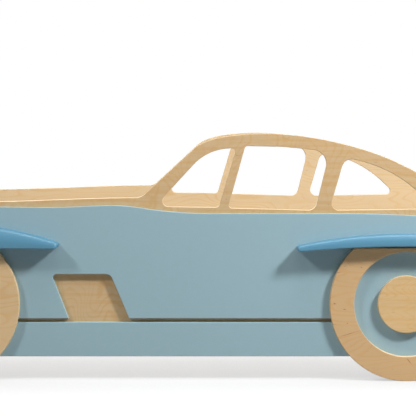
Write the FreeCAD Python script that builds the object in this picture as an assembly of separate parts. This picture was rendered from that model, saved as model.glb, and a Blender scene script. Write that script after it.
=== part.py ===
import FreeCAD, Part
import math
import os

# A child's bed shaped like a coupe car, nose towards -X. Millimetres, +Z up, floor at Z = 0.
# The origin is on the floor, in the middle of the bed's length and width.
# Every left-hand piece (at -Y) is made first, and its right-hand twin is its mirror image.

# Mattress bay and boards
mattress_width = 900.0
mattress_length = 2000.0
mattress_gap = 10.0
panel_thickness = 18.0
skin_thickness = 15.0
edge_round = 1.5

# Wheels and feet
wheel_base = 1300.0
wheel_radius = 215.0
ring_opening_radius = 147.0
ring_thickness = 18.0
ring_top_wall = 10.5
hub_radius = 80.0
hub_thickness = 18.0
lobe_inset = 8.0
foot_width = 48.0
glide_thickness = 3.0
glide_margin = 3.0

# Side outline: heights are above the floor
front_overhang = 410.0
rear_overhang = 660.0
sill_height = 67.0
chin_height = 105.0
bonnet_height = 501.0
scuttle_height = 512.0
scuttle_fillet = 41.0
roof_height = 693.0
tail_height = 406.0
pillar_setback = 746.0
pillar_run = 151.0
pillar_rise_share = 0.77
roof_setback = 385.0
tail_taper = 480.0

# Windows
window_sill = 484.0
roof_band = 36.0
quarter_front_round = 145.0
window_round = 12.0
rear_window_sweep = 372.0
door_rear_round = 40.0

# Painted skin
belt_height = 468.0
bonnet_band = 14.0
scuttle_band = 21.0
nose_band = 12.0
tail_band = 20.0
slot_height = 163.0
slot_width = 10.5
slot_end_inset = 35.0
vent_height = 298.0
vent_setback = 303.0
vent_length = 166.0
vent_front_lean = 21.3
vent_rear_lean = 23.1
vent_front_round = 10.0
vent_rear_round = 20.0

# Mudguards
guard_depth = 52.0
guard_round = 7.0
guard_tip_round = 8.0
guard_tip_height = 19.0
front_guard_reach = 335.0
front_guard_rise = 72.0
front_guard_gap = 1.0
front_guard_arch = 0.2
rear_guard_reach = 313.0
rear_guard_rise = 36.5
rear_guard_gap = 6.0
rear_guard_arch = 14.5
guard_bolt_spread = 190.0
guard_bolt_rise = 17.0

# Inner frame
rail_depth = 45.0
rail_width = 28.0
rail_end_gap = 6.5
slat_count = 14
slat_width = 70.0
slat_thickness = 18.0
slat_end_gap = 5.0
slat_top_height = 300.0
end_board_low = 115.0
front_board_top = 440.0
rear_board_top = 402.0
end_board_crown = 30.0
batten_size = 36.0
batten_margin = 15.0

# Fasteners: wood screws are shank radius, head radius, head depth, length
fit = 0.2
rail_screw = (2.5, 5.0, 3.0, 40.0)
slat_screw = (1.75, 3.5, 2.2, 38.0)
skin_screw = (2.0, 4.0, 2.4, 28.0)
wheel_screw = (2.25, 4.5, 2.7, 46.0)
batten_screw = (2.5, 5.0, 3.0, 45.0)
bolt_radius = 3.0
bolt_head_radius = 8.0
bolt_head_depth = 3.5
bolt_socket = 2.3
insert_radius = 5.0
insert_length = 16.0
skin_screw_edge = 45.0
skin_screw_count = 7
ring_screw_angles = (25, 65, 120, 240, 295, 335)
hub_screw_angles = (0, 120, 240)
hub_screw_circle = 45.0

# Places worked out from the sizes above
total_length = front_overhang + wheel_base + rear_overhang
nose_x = -total_length / 2
tail_x = total_length / 2
front_wheel_x = nose_x + front_overhang
rear_wheel_x = tail_x - rear_overhang
wheel_places = (("front", front_wheel_x), ("rear", rear_wheel_x))
wheel_z = wheel_radius
ring_top_height = wheel_z + ring_opening_radius + ring_top_wall
pillar_rise = pillar_rise_share * (roof_height - scuttle_height)
pillar_angle = math.atan2(pillar_rise, pillar_run)
pillar_foot_x = rear_wheel_x - pillar_setback
roof_x = rear_wheel_x - roof_setback
bay_half_width = mattress_width / 2 + mattress_gap
bay_half_length = mattress_length / 2 + mattress_gap
panel_inner_y = -bay_half_width
panel_outer_y = panel_inner_y - panel_thickness
skin_outer_y = panel_outer_y - skin_thickness
ring_outer_y = skin_outer_y - ring_thickness
hub_outer_y = skin_outer_y - hub_thickness
guard_outer_y = skin_outer_y - guard_depth
slat_low = slat_top_height - slat_thickness
rail_low = slat_low - rail_depth
rail_inner_y = panel_inner_y + rail_width
lobe_radius = wheel_radius - lobe_inset
board_outer_x = bay_half_length + panel_thickness
guard_grip = panel_thickness + skin_thickness


def at(x, z):
    """A point of a side outline, drawn in the plane Y = 0."""
    return FreeCAD.Vector(x, 0, z)


def line(start, end):
    return Part.LineSegment(start, end).toShape()


def arc(start, middle, end):
    return Part.Arc(start, middle, end).toShape()


def curve(points, start_way, end_way):
    """A smooth edge through the points, with the (x, z) directions that it starts and ends in."""
    reached = [0.0]
    for before, after in zip(points, points[1:]):
        reached.append(reached[-1] + before.distanceToPoint(after))
    spline = Part.BSplineCurve()
    spline.interpolate(
        Points=points,
        Parameters=reached,
        InitialTangent=at(*start_way).normalize(),
        FinalTangent=at(*end_way).normalize(),
        Scale=False,
    )
    return spline.toShape()


def face_of(edges):
    return Part.Face(Part.Wire(edges))


def rounded_polygon(corners):
    """A closed outline of straight runs. Each corner is (x, z, radius), and its rounding fits its sides."""
    spots = [at(x, z) for x, z, radius in corners]
    following = spots[1:] + spots[:1]
    ways = [(after - before).normalize() for before, after in zip(spots, following)]
    half_angles = [(-ways[n - 1]).getAngle(ways[n]) / 2 for n in range(len(spots))]
    reaches = [radius / math.tan(half) for (x, z, radius), half in zip(corners, half_angles)]
    rooms = [
        0.98 * before.distanceToPoint(after) / (reach + next_reach)
        for before, after, reach, next_reach in zip(spots, following, reaches, reaches[1:] + reaches[:1])
    ]
    joints = []
    for number, spot in enumerate(spots):
        share = min(1.0, rooms[number - 1], rooms[number])
        radius = share * corners[number][2]
        reach = share * reaches[number]
        bisector = (ways[number] - ways[number - 1]).normalize()
        middle = spot + bisector * (radius / math.sin(half_angles[number]) - radius)
        joints.append((spot - ways[number - 1] * reach, middle, spot + ways[number] * reach))
    edges = []
    for number, joint in enumerate(joints):
        edges.append(arc(*joint))
        edges.append(line(joint[2], joints[(number + 1) % len(joints)][0]))
    return face_of(edges)


def disc(x, z, radius):
    return face_of([Part.Circle(at(x, z), FreeCAD.Vector(0, 1, 0), radius).toShape()])


def plate(x_low, x_high, z_low, z_high):
    corners = [at(x_low, z_low), at(x_high, z_low), at(x_high, z_high), at(x_low, z_high), at(x_low, z_low)]
    return Part.Face(Part.makePolygon(corners))


def board(face, outer_y, inner_y):
    """A board with the outline of a face in the plane Y = 0, between two planes of Y."""
    placed = face.copy()
    placed.translate(FreeCAD.Vector(0, outer_y, 0))
    return placed.extrude(FreeCAD.Vector(0, inner_y - outer_y, 0))


def box(low, high):
    return Part.makeBox(*[b - a for a, b in zip(low, high)], FreeCAD.Vector(*low))


def edges_in_plane(solid, y):
    """The edges of a solid that lie wholly in the plane of that Y."""
    return [e for e in solid.Edges if abs(e.BoundBox.YMin - y) < 1e-3 and abs(e.BoundBox.YMax - y) < 1e-3]


def mirrored(shape):
    return shape.mirror(FreeCAD.Vector(0, 0, 0), FreeCAD.Vector(0, 1, 0))


def rounded_board(face, openings, outer_y, inner_y, rounded_ys):
    """A board with openings cut through it, and with the edges in some of its planes rounded."""
    solid = board(face, outer_y, inner_y)
    if openings:
        solid = one_piece(solid.cut([board(opening, outer_y - 1, inner_y + 1) for opening in openings]))
    rims = [edge for y in rounded_ys for edge in edges_in_plane(solid, y)]
    return solid.makeFillet(edge_round, rims)


def with_boards(solid, faces, outer_y, inner_y):
    """Adds square-edged boards of the same thickness to a solid."""
    return one_piece(solid.fuse([board(face, outer_y, inner_y) for face in faces]))


def one_piece(shape):
    """The single solid that a run of cuts or joins leaves."""
    shape = shape.removeSplitter()
    return shape.Solids[0] if len(shape.Solids) == 1 else shape


def save(name, shape):
    shape.exportStep("parts/" + name + ".step")


def save_pair(name, shape):
    save(name + "_left", shape)
    save(name + "_right", mirrored(shape))


# ------------------------------------------------------------------ fasteners


def along(shape, point, way):
    """Moves a shape that points along +Z so that its Z = 0 is at the point and it runs that way."""
    turned = shape.copy()
    turn = FreeCAD.Rotation(FreeCAD.Vector(0, 0, 1), FreeCAD.Vector(*way))
    turned.Placement = FreeCAD.Placement(FreeCAD.Vector(*point), turn)
    return turned


def wood_screw(size):
    """A countersunk wood screw with a cross recess, its head flush with Z = 0, pointing along +Z."""
    shank, head, depth, length = size
    cone = Part.makeCone(head, shank, depth)
    stem = Part.makeCylinder(shank, length - 2 * shank - depth, FreeCAD.Vector(0, 0, depth))
    tip = Part.makeCone(shank, shank / 4, 2 * shank, FreeCAD.Vector(0, 0, length - 2 * shank))
    slot = box((-head / 2, -head / 8, -depth), (head / 2, head / 8, depth / 2))
    cross = box((-head / 8, -head / 2, -depth), (head / 8, head / 2, depth / 2))
    return one_piece(cone.fuse([stem, tip]).cut([slot, cross]))


def wood_screw_hole(size):
    """What a wood screw takes out of the pieces that it joins."""
    shank, head, depth, length = size
    cone = Part.makeCone(head + fit, shank + fit, depth)
    return one_piece(cone.fuse(Part.makeCylinder(shank + fit, length + fit)))


def bolt(grip):
    """A flat-headed bolt with a hexagon socket, its head below Z = 0, that fills its insert."""
    head = Part.makeCylinder(bolt_head_radius, bolt_head_depth, FreeCAD.Vector(0, 0, -bolt_head_depth))
    rim = [e for e in head.Edges if abs(e.BoundBox.ZMax + bolt_head_depth) < 1e-6]
    head = head.makeChamfer(bolt_head_depth / 4, rim)
    shank = Part.makeCylinder(bolt_radius, grip + insert_length)
    below = -2 * bolt_head_depth
    turns = [math.radians(60 * step) for step in range(7)]
    corners = [FreeCAD.Vector(bolt_socket * math.cos(t), bolt_socket * math.sin(t), below) for t in turns]
    socket = Part.Face(Part.makePolygon(corners)).extrude(FreeCAD.Vector(0, 0, 1.75 * bolt_head_depth))
    return one_piece(head.fuse(shank).cut(socket))


def insert(grip):
    """A threaded insert's sleeve, from Z = grip on, that takes the bolt's shank."""
    start = FreeCAD.Vector(0, 0, grip)
    sleeve = Part.makeCylinder(insert_radius, insert_length, start)
    return sleeve.cut(Part.makeCylinder(bolt_radius + fit / 2, insert_length, start))


def bolt_hole(grip):
    """Clearance for a bolt's shank, and the seat of its insert from Z = grip on."""
    seat = Part.makeCylinder(insert_radius + fit, insert_length + fit, FreeCAD.Vector(0, 0, grip))
    return one_piece(Part.makeCylinder(bolt_radius + fit, grip + insert_length).fuse(seat))


def group(piece, places):
    """Copies of one fastener. Each place is a point and the way that it runs."""
    return Part.makeCompound([along(piece, point, way) for point, way in places])


def cuts(hole, places):
    return [along(hole, point, way) for point, way in places]


# ------------------------------------------------------------------ side outlines


def pillar_top():
    """Where the straight windscreen pillar turns into the roof."""
    return at(pillar_foot_x + pillar_run, scuttle_height + pillar_rise)


def bonnet_edges():
    """The side panel's edge from the chin round the nose and along the bonnet to the pillar."""
    half_turn = pillar_angle / 2
    reach = scuttle_fillet * math.tan(half_turn)
    scuttle = at(pillar_foot_x - reach, scuttle_height)
    pillar_way = at(math.cos(pillar_angle), math.sin(pillar_angle))
    pillar_start = at(pillar_foot_x, scuttle_height) + pillar_way * reach
    middle = at(
        scuttle.x + scuttle_fillet * math.sin(half_turn),
        scuttle_height + scuttle_fillet * (1 - math.cos(half_turn)),
    )
    chin = lower_corner(nose_x + 65, front_wheel_x, 0)
    tip = at(nose_x, bonnet_height - 226)
    nose = curve([chin, at(nose_x + 17, chin_height + 67), tip], under_way(front_wheel_x, chin), (0, 1))
    bonnet = curve(
        [
            tip,
            at(nose_x + 24, bonnet_height - 126),
            at(nose_x + 98, bonnet_height - 58),
            at(nose_x + 225, bonnet_height - 22),
            at(front_wheel_x, bonnet_height - 4),
            at(front_wheel_x + 160, bonnet_height),
            at(scuttle.x - 160, scuttle_height - 3.2),
            scuttle,
        ],
        (0, 1),
        (1, 0),
    )
    return [nose, bonnet, arc(scuttle, middle, pillar_start), line(pillar_start, pillar_top())]


def roof_edge():
    """The side panel's edge over the roof and down the fastback to the tail."""
    rise = roof_height - scuttle_height
    fall = roof_height - tail_height
    points = [
        pillar_top(),
        at(roof_x - 169, roof_height - 0.108 * rise),
        at(roof_x - 93, roof_height - 0.0249 * rise),
        at(roof_x, roof_height),
        at(roof_x + 213, roof_height - 0.1035 * fall),
        at(roof_x + 339, roof_height - 0.2464 * fall),
        at(roof_x + 415, roof_height - 0.3735 * fall),
        at(tail_x - tail_taper, tail_height + 0.3763 * fall),
        at(tail_x - tail_taper * 2 / 3, tail_height + 0.1847 * fall),
        at(tail_x - 70, tail_height),
    ]
    return curve(points, (math.cos(pillar_angle), math.sin(pillar_angle)), (1, -0.22))


def tail_edges(start, inset):
    """The tail's end, from its upper corner down to its lower corner."""
    end = lower_corner(tail_x - 75, rear_wheel_x, inset)
    outermost = at(tail_x - inset, tail_height - 110)
    shoulder = at(tail_x - 16 - inset, tail_height - 40 - inset / 2)
    upper = curve([start, shoulder, outermost], (1, -0.22), (0, -1))
    way = under_way(rear_wheel_x, end)
    lower = curve([outermost, at(tail_x - 20 - inset, chin_height + 70), end], (0, -1), (-way[0], -way[1]))
    return [upper, lower], end


def lower_corner(x, wheel_x, inset):
    """The end of the lower edge beyond a wheel, drawn in along the edge by an inset."""
    end = at(x, chin_height)
    return end + (at(wheel_x, sill_height) - end).normalize() * inset


def under_way(wheel_x, end):
    """The direction of the lower edge from under a wheel out to its end."""
    return end.x - wheel_x, end.z - sill_height


def under_edges(start, end):
    """The lower edge, from the tail forward past both wheels to the chin."""
    rear = at(rear_wheel_x, sill_height)
    front = at(front_wheel_x, sill_height)
    return [line(start, rear), line(rear, front), line(front, end)]


def lobe_faces():
    """The round lobes that back the lower halves of the wheel rings."""
    above = plate(nose_x - wheel_radius, tail_x + wheel_radius, wheel_z, wheel_z + wheel_radius)
    return [disc(x, wheel_z, lobe_radius).cut(above) for name, x in wheel_places]


def foot_faces():
    """The flats under the lobes that stand on the glides."""
    half = foot_width / 2
    top = wheel_z - ring_opening_radius
    return [plate(x - half, x + half, glide_thickness, top) for name, x in wheel_places]


def window_faces():
    """The quarter, door and rear window openings."""
    top = roof_height - roof_band
    tall = top - window_sill
    quarter = rounded_polygon(
        [
            (pillar_foot_x + 40, window_sill + 3, window_round + 5),
            (pillar_top().x + 40, top - 5.5, quarter_front_round),
            (roof_x - 92, top - 5.5, window_round - 3),
            (roof_x - 141, window_sill + 1, window_round),
        ]
    )
    door = rounded_polygon(
        [
            (roof_x - 115, window_sill - 1, window_round - 3),
            (roof_x - 66, top + 1, window_round - 3),
            (roof_x + 40, top - 1, 8 * door_rear_round),
            (roof_x + 173, top - 14, door_rear_round),
            (roof_x + 131, window_sill - 7.5, 2 * window_round),
        ]
    )
    rear = rounded_polygon(
        [
            (roof_x + 171, window_sill - 7.5, window_round + 8),
            (roof_x + 214.5, top - 0.183 * tall, window_round + 16),
            (roof_x + 354.5, top - 0.347 * tall, rear_window_sweep),
            (roof_x + 470.5, window_sill - 3, window_round + 1),
        ]
    )
    return [quarter, door, rear]


def side_panel_face():
    tail, tail_end = tail_edges(at(tail_x - 70, tail_height), 0)
    chin = lower_corner(nose_x + 65, front_wheel_x, 0)
    return face_of(bonnet_edges() + [roof_edge()] + tail + under_edges(tail_end, chin))


def vent_face():
    """The side vent: a leaning cut-out with rounded top corners that opens into the slot below it."""
    low = slot_height + slot_width / 2
    drop = vent_height - low
    left = front_wheel_x + vent_setback
    front_foot = left + drop * math.tan(math.radians(vent_front_lean))
    rear_foot = left + vent_length + drop * math.tan(math.radians(vent_rear_lean))
    return rounded_polygon(
        [
            (left, vent_height, vent_front_round),
            (left + vent_length, vent_height, vent_rear_round),
            (rear_foot, low, slot_width / 20),
            (front_foot, low, slot_width / 20),
        ]
    )


def skin_face():
    """The painted skin: inside the side panel's outline below the belt line, and down over the sill."""
    chin = lower_corner(nose_x + 65, front_wheel_x, nose_band)
    tip = at(nose_x + nose_band, bonnet_height - 226)
    bumper = at(nose_x + 17 + nose_band, chin_height + 72)
    nose = curve([chin, bumper, tip], under_way(front_wheel_x, chin), (0, 1))
    crest_x = front_wheel_x + 160
    crest_height = bonnet_height - bonnet_band
    dip = (pillar_foot_x - 85 - crest_x) / 3
    top = curve(
        [
            tip,
            at(nose_x + 24 + nose_band, bonnet_height - 126 - nose_band / 2),
            at(nose_x + 102, bonnet_height - 58 - bonnet_band),
            at(nose_x + 227, bonnet_height - 22 - bonnet_band),
            at(front_wheel_x, bonnet_height - 4 - bonnet_band),
            at(crest_x, crest_height),
            at(crest_x + dip, crest_height - 1.6),
            at(crest_x + 2 * dip, crest_height - 0.1),
            at(pillar_foot_x - 85, scuttle_height - scuttle_band),
            at(pillar_foot_x - 37, scuttle_height - scuttle_band - 2),
            at(pillar_foot_x + 19, belt_height + 13),
            at(pillar_foot_x + 95, belt_height + 4.5),
            at(pillar_foot_x + 195, belt_height),
        ],
        (0, 1),
        (1, 0),
    )
    belt = line(at(pillar_foot_x + 195, belt_height), at(roof_x + 228, belt_height))
    corner = at(tail_x - 78, tail_height - tail_band)
    rear = curve(
        [
            at(roof_x + 228, belt_height),
            at(roof_x + 413, belt_height - 5.5),
            at(tail_x - tail_taper, tail_height + 46),
            at(tail_x - tail_taper * 2 / 3, tail_height + 24),
            corner,
        ],
        (1, 0),
        (1, -0.22),
    )
    tail, tail_end = tail_edges(corner, nose_band)
    return face_of([nose, top, belt, rear] + tail + under_edges(tail_end, chin))


def slot_face():
    """The long slot above the sill. Its ends are hidden behind the wheel rings."""
    reach = wheel_radius - slot_end_inset
    return plate(front_wheel_x + reach, rear_wheel_x - reach, slot_height, slot_height + slot_width)


# ------------------------------------------------------------------ where the fasteners go


def spread(low, high, count):
    """Evenly spaced values with half a space before the first and after the last."""
    step = (high - low) / count
    return [low + step * (number + 0.5) for number in range(count)]


slat_places = spread(-bay_half_length, bay_half_length, slat_count)
outward = (0, -1, 0)
rail_screw_places = [
    (((slat_places[n] + slat_places[n + 1]) / 2, rail_inner_y, rail_low + rail_depth / 2), outward)
    for n in range(0, slat_count - 1, 2)
]
slat_screw_places = [
    ((x, side * (panel_inner_y + rail_width / 2), slat_top_height), (0, 0, -1))
    for x in slat_places
    for side in (1, -1)
]
skin_screw_places = [
    ((x, panel_inner_y, belt_height - skin_screw_edge), outward)
    for x in spread(front_wheel_x, rear_wheel_x + 60, skin_screw_count)
]
skin_screw_places += [
    ((x, panel_inner_y, (sill_height + slot_height) / 2), outward)
    for x in spread(front_wheel_x + wheel_radius, rear_wheel_x - wheel_radius, skin_screw_count)
]
skin_screw_places += [
    ((nose_x + skin_screw_edge + 30, panel_inner_y, z), outward)
    for z in (bonnet_height / 2, bonnet_height / 2 + 90)
]
skin_screw_places += [
    ((x, panel_inner_y, tail_height / 2), outward) for x in (tail_x - 75, tail_x - 235)
]


def wheel_screw_places(wheel_x):
    circle = (wheel_radius + ring_opening_radius) / 2
    spots = [(circle, turn) for turn in ring_screw_angles]
    spots += [(hub_screw_circle, turn) for turn in hub_screw_angles]
    return [
        (
            (
                wheel_x + radius * math.sin(math.radians(turn)),
                panel_inner_y,
                wheel_z - radius * math.cos(math.radians(turn)),
            ),
            outward,
        )
        for radius, turn in spots
    ]


all_wheel_screw_places = [place for name, x in wheel_places for place in wheel_screw_places(x)]
guard_low_heights = {"front": ring_top_height + front_guard_gap, "rear": ring_top_height}
guard_bolt_places = [
    ((x + side * guard_bolt_spread, panel_inner_y, guard_low_heights[name] + guard_bolt_rise), outward)
    for name, x in wheel_places
    for side in (-1, 0, 1)
]


def batten_heights(top):
    return end_board_low + batten_margin, top - end_board_crown - batten_margin


def batten_fastener_places(end, top):
    """Screws into the side panel and bolts through the end board, for the left batten of an end."""
    low, high = batten_heights(top)
    run = high - low
    screw_x = end * (board_outer_x + batten_size / 2)
    screw_y = panel_inner_y + batten_size
    screws = [((screw_x, screw_y, low + run * share), outward) for share in (0.08, 0.5, 0.92)]
    bolt_y = panel_inner_y + batten_size / 2
    bolts = [((end * bay_half_length, bolt_y, low + run * share), (end, 0, 0)) for share in (0.2, 0.8)]
    return screws, bolts


ends = (("front", -1, front_board_top), ("rear", 1, rear_board_top))
batten_screw_places = []
board_bolt_places = []
for end_name, end_way, end_top in ends:
    end_screws, end_bolts = batten_fastener_places(end_way, end_top)
    batten_screw_places += end_screws
    board_bolt_places += end_bolts


def both_sides(places):
    """The places of the left side and their mirror images on the right."""
    flipped = [((p[0], -p[1], p[2]), (w[0], -w[1], w[2])) for p, w in places]
    return places + flipped


# ------------------------------------------------------------------ pieces


def make_side_panel():
    planes = (panel_outer_y, panel_inner_y)
    panel = rounded_board(side_panel_face(), window_faces(), *planes, planes)
    panel = with_boards(panel, lobe_faces() + foot_faces(), *planes)
    holes = cuts(wood_screw_hole(rail_screw), rail_screw_places)
    holes += cuts(wood_screw_hole(skin_screw), skin_screw_places)
    holes += cuts(wood_screw_hole(wheel_screw), all_wheel_screw_places)
    holes += cuts(wood_screw_hole(batten_screw), batten_screw_places)
    holes += cuts(bolt_hole(guard_grip), guard_bolt_places)
    return one_piece(panel.cut(holes))


def make_skin():
    planes = (skin_outer_y, panel_outer_y)
    skin = rounded_board(skin_face(), [slot_face(), vent_face()], *planes, planes[:1])
    skin = with_boards(skin, lobe_faces(), *planes)
    holes = [board(slot_face(), *planes)]
    holes += cuts(wood_screw_hole(skin_screw), skin_screw_places)
    holes += cuts(wood_screw_hole(wheel_screw), all_wheel_screw_places)
    holes += cuts(bolt_hole(guard_grip), guard_bolt_places)
    return one_piece(skin.cut(holes))


def make_ring(wheel_x):
    """A wheel ring, cut flat at its top to pass under the mudguard."""
    above = plate(wheel_x - wheel_radius, wheel_x + wheel_radius, ring_top_height, 2 * ring_top_height)
    ring = disc(wheel_x, wheel_z, wheel_radius).cut([disc(wheel_x, wheel_z, ring_opening_radius), above])
    ring = rounded_board(ring, [], ring_outer_y, skin_outer_y, [ring_outer_y])
    return one_piece(ring.cut(cuts(wood_screw_hole(wheel_screw), wheel_screw_places(wheel_x))))


def make_hub(wheel_x):
    hub = rounded_board(disc(wheel_x, wheel_z, hub_radius), [], hub_outer_y, skin_outer_y, [hub_outer_y])
    return one_piece(hub.cut(cuts(wood_screw_hole(wheel_screw), wheel_screw_places(wheel_x))))


def make_guard(wheel_x, reach, rise, gap, arch):
    """A mudguard: a crescent over the wheel with blunt tips, rounded on its outer side."""
    low = ring_top_height + gap
    tip_low = low - arch
    tip_top = tip_low + 0.75 * guard_tip_height
    lean = guard_tip_height / 2
    rear_top = at(wheel_x + reach, tip_top)
    rear_low = at(wheel_x + reach - lean, tip_low)
    front_low = at(wheel_x - reach + lean, tip_low)
    front_top = at(wheel_x - reach, tip_top)
    crescent = face_of(
        [
            arc(front_top, at(wheel_x, low + rise), rear_top),
            line(rear_top, rear_low),
            arc(rear_low, at(wheel_x, low), front_low),
            line(front_low, front_top),
        ]
    )
    guard = board(crescent, guard_outer_y, skin_outer_y)
    across = [e for e in guard.Edges if e.BoundBox.YLength > guard_depth / 2]
    guard = guard.makeFillet(guard_tip_round, across)
    guard = guard.makeFillet(guard_round, edges_in_plane(guard, guard_outer_y))
    return one_piece(guard.cut(cuts(bolt_hole(guard_grip), guard_bolt_places)))


def make_end_board(end_way, top):
    """An end board between the side panels, with a crowned top edge."""
    shoulder = top - end_board_crown
    half = bay_half_width
    inner_x = end_way * bay_half_length
    corners = [
        FreeCAD.Vector(inner_x, -half, shoulder),
        FreeCAD.Vector(inner_x, -half, end_board_low),
        FreeCAD.Vector(inner_x, half, end_board_low),
        FreeCAD.Vector(inner_x, half, shoulder),
    ]
    edges = [line(a, b) for a, b in zip(corners, corners[1:])]
    edges.append(arc(corners[3], FreeCAD.Vector(inner_x, 0, top), corners[0]))
    end_board = face_of(edges).extrude(FreeCAD.Vector(end_way * panel_thickness, 0, 0))
    return end_board


def make_battens(end_way, top):
    low, high = batten_heights(top)
    near = end_way * board_outer_x
    far = end_way * (board_outer_x + batten_size)
    batten = box(
        (min(near, far), panel_inner_y, low),
        (max(near, far), panel_inner_y + batten_size, high),
    )
    screws, bolts = batten_fastener_places(end_way, top)
    holes = cuts(wood_screw_hole(batten_screw), screws) + cuts(bolt_hole(panel_thickness), bolts)
    return one_piece(batten.cut(holes))


def make_rail():
    """A slat rail that stops short of the bolt heads in the end boards."""
    half_length = bay_half_length - bolt_head_depth - rail_end_gap
    rail = box(
        (-half_length, panel_inner_y, rail_low),
        (half_length, rail_inner_y, slat_low),
    )
    holes = cuts(wood_screw_hole(rail_screw), rail_screw_places)
    holes += cuts(wood_screw_hole(slat_screw), slat_screw_places)
    return one_piece(rail.cut(holes))


def make_slat(x):
    half_length = bay_half_width - slat_end_gap
    slat = box(
        (x - slat_width / 2, -half_length, slat_low),
        (x + slat_width / 2, half_length, slat_top_height),
    )
    along_top = [e for e in slat.Edges if e.BoundBox.YLength > half_length and e.BoundBox.ZMin > slat_low + 1]
    slat = slat.makeFillet(2 * edge_round, along_top)
    here = [place for place in slat_screw_places if abs(place[0][0] - x) < 1]
    return one_piece(slat.cut(cuts(wood_screw_hole(slat_screw), here)))


def make_glide(wheel_x):
    half = foot_width / 2 - glide_margin
    return box(
        (wheel_x - half, panel_outer_y + glide_margin, 0),
        (wheel_x + half, panel_inner_y - glide_margin, glide_thickness),
    )


def main():
    os.makedirs("parts", exist_ok=True)
    save_pair("side_panel", make_side_panel())
    save_pair("body_skin", make_skin())
    guard_sizes = {
        "front": (front_guard_reach, front_guard_rise, front_guard_gap, front_guard_arch),
        "rear": (rear_guard_reach, rear_guard_rise, rear_guard_gap, rear_guard_arch),
    }
    for name, x in wheel_places:
        save_pair(name + "_wheel_ring", make_ring(x))
        save_pair(name + "_wheel_hub", make_hub(x))
        save_pair(name + "_mudguard", make_guard(x, *guard_sizes[name]))
        save_pair(name + "_floor_glide", make_glide(x))
    for name, end_way, top in ends:
        bolts = both_sides(batten_fastener_places(end_way, top)[1])
        end_board = make_end_board(end_way, top)
        save(name + "_board", one_piece(end_board.cut(cuts(bolt_hole(panel_thickness), bolts))))
        save_pair(name + "_corner_batten", make_battens(end_way, top))
    save_pair("slat_rail", make_rail())
    for number, x in enumerate(slat_places, start=1):
        save("slat_%02d" % number, make_slat(x))
    save_pair("rail_screws", group(wood_screw(rail_screw), rail_screw_places))
    save_pair("skin_screws", group(wood_screw(skin_screw), skin_screw_places))
    save_pair("wheel_screws", group(wood_screw(wheel_screw), all_wheel_screw_places))
    save_pair("mudguard_bolts", group(bolt(guard_grip), guard_bolt_places))
    save_pair("mudguard_inserts", group(insert(guard_grip), guard_bolt_places))
    save("batten_screws", group(wood_screw(batten_screw), both_sides(batten_screw_places)))
    save("board_bolts", group(bolt(panel_thickness), both_sides(board_bolt_places)))
    save("board_inserts", group(insert(panel_thickness), both_sides(board_bolt_places)))
    save("slat_screws", group(wood_screw(slat_screw), slat_screw_places))


main()
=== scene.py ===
import math
import random
from collections import namedtuple

import bmesh
import bpy
from mathutils import Matrix, Vector


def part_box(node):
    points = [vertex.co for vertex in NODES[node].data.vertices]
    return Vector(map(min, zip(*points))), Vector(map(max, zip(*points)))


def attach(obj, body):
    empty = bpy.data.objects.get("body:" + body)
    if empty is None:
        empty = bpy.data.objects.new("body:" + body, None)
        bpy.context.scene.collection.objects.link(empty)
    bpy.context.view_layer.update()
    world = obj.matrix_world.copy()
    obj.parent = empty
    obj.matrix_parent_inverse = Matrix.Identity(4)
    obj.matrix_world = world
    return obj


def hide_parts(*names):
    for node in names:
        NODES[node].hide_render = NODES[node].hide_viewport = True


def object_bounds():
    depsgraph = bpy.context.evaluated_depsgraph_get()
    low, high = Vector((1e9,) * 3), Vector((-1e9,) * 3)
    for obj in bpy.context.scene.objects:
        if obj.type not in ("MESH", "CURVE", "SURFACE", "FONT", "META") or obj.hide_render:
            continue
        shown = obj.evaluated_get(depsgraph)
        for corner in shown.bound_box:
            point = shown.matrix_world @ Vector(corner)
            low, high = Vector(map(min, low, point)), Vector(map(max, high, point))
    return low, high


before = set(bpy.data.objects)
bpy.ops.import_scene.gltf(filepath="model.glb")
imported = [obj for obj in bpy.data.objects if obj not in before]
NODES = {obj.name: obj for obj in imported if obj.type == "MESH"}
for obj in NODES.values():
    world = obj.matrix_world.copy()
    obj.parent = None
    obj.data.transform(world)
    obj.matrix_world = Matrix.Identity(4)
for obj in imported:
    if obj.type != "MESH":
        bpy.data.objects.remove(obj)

# The looks of a coupe-shaped child's bed: birch plywood sides, grey-blue painted skins,
# brighter blue mudguards and a slatted pine base. Metres, nose towards -X, floor at Z = 0.

bl_info = {
    "name": "Coupe car bed",
    "version": (1, 0, 0),
    "blender": (4, 5, 0),
    "location": "3D View > Sidebar > Car bed",
    "description": "Finishes the plywood, paint, mudguards and fittings of a car-shaped child's bed",
    "category": "Object",
}

CAD_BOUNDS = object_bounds()
SIDES = ("left", "right")
WHEELS = ("front", "rear")
PANEL_LOW, PANEL_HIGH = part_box("side_panel_left")
WHITE = (1.0, 1.0, 1.0)


def srgb(red, green, blue):
    """A screen colour, 0 to 255, as the linear colour that a shader takes."""
    channels = [value / 255 for value in (red, green, blue)]
    return tuple(c / 12.92 if c <= 0.04045 else ((c + 0.055) / 1.055) ** 2.4 for c in channels)


# ------------------------------------------------------------------ settings


def colour(name, description, default):
    return bpy.props.FloatVectorProperty(
        name=name, description=description, default=default, subtype="COLOR", size=3, min=0.0, max=1.0
    )


def length(name, description, default):
    return bpy.props.FloatProperty(name=name, description=description, default=default, unit="LENGTH")


def amount(name, description, default):
    return bpy.props.FloatProperty(name=name, description=description, default=default, min=0.0)


def count(name, description, default, least):
    return bpy.props.IntProperty(name=name, description=description, default=default, min=least)


def group(kind, name, description):
    return bpy.props.PointerProperty(type=kind, name=name, description=description)


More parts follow.
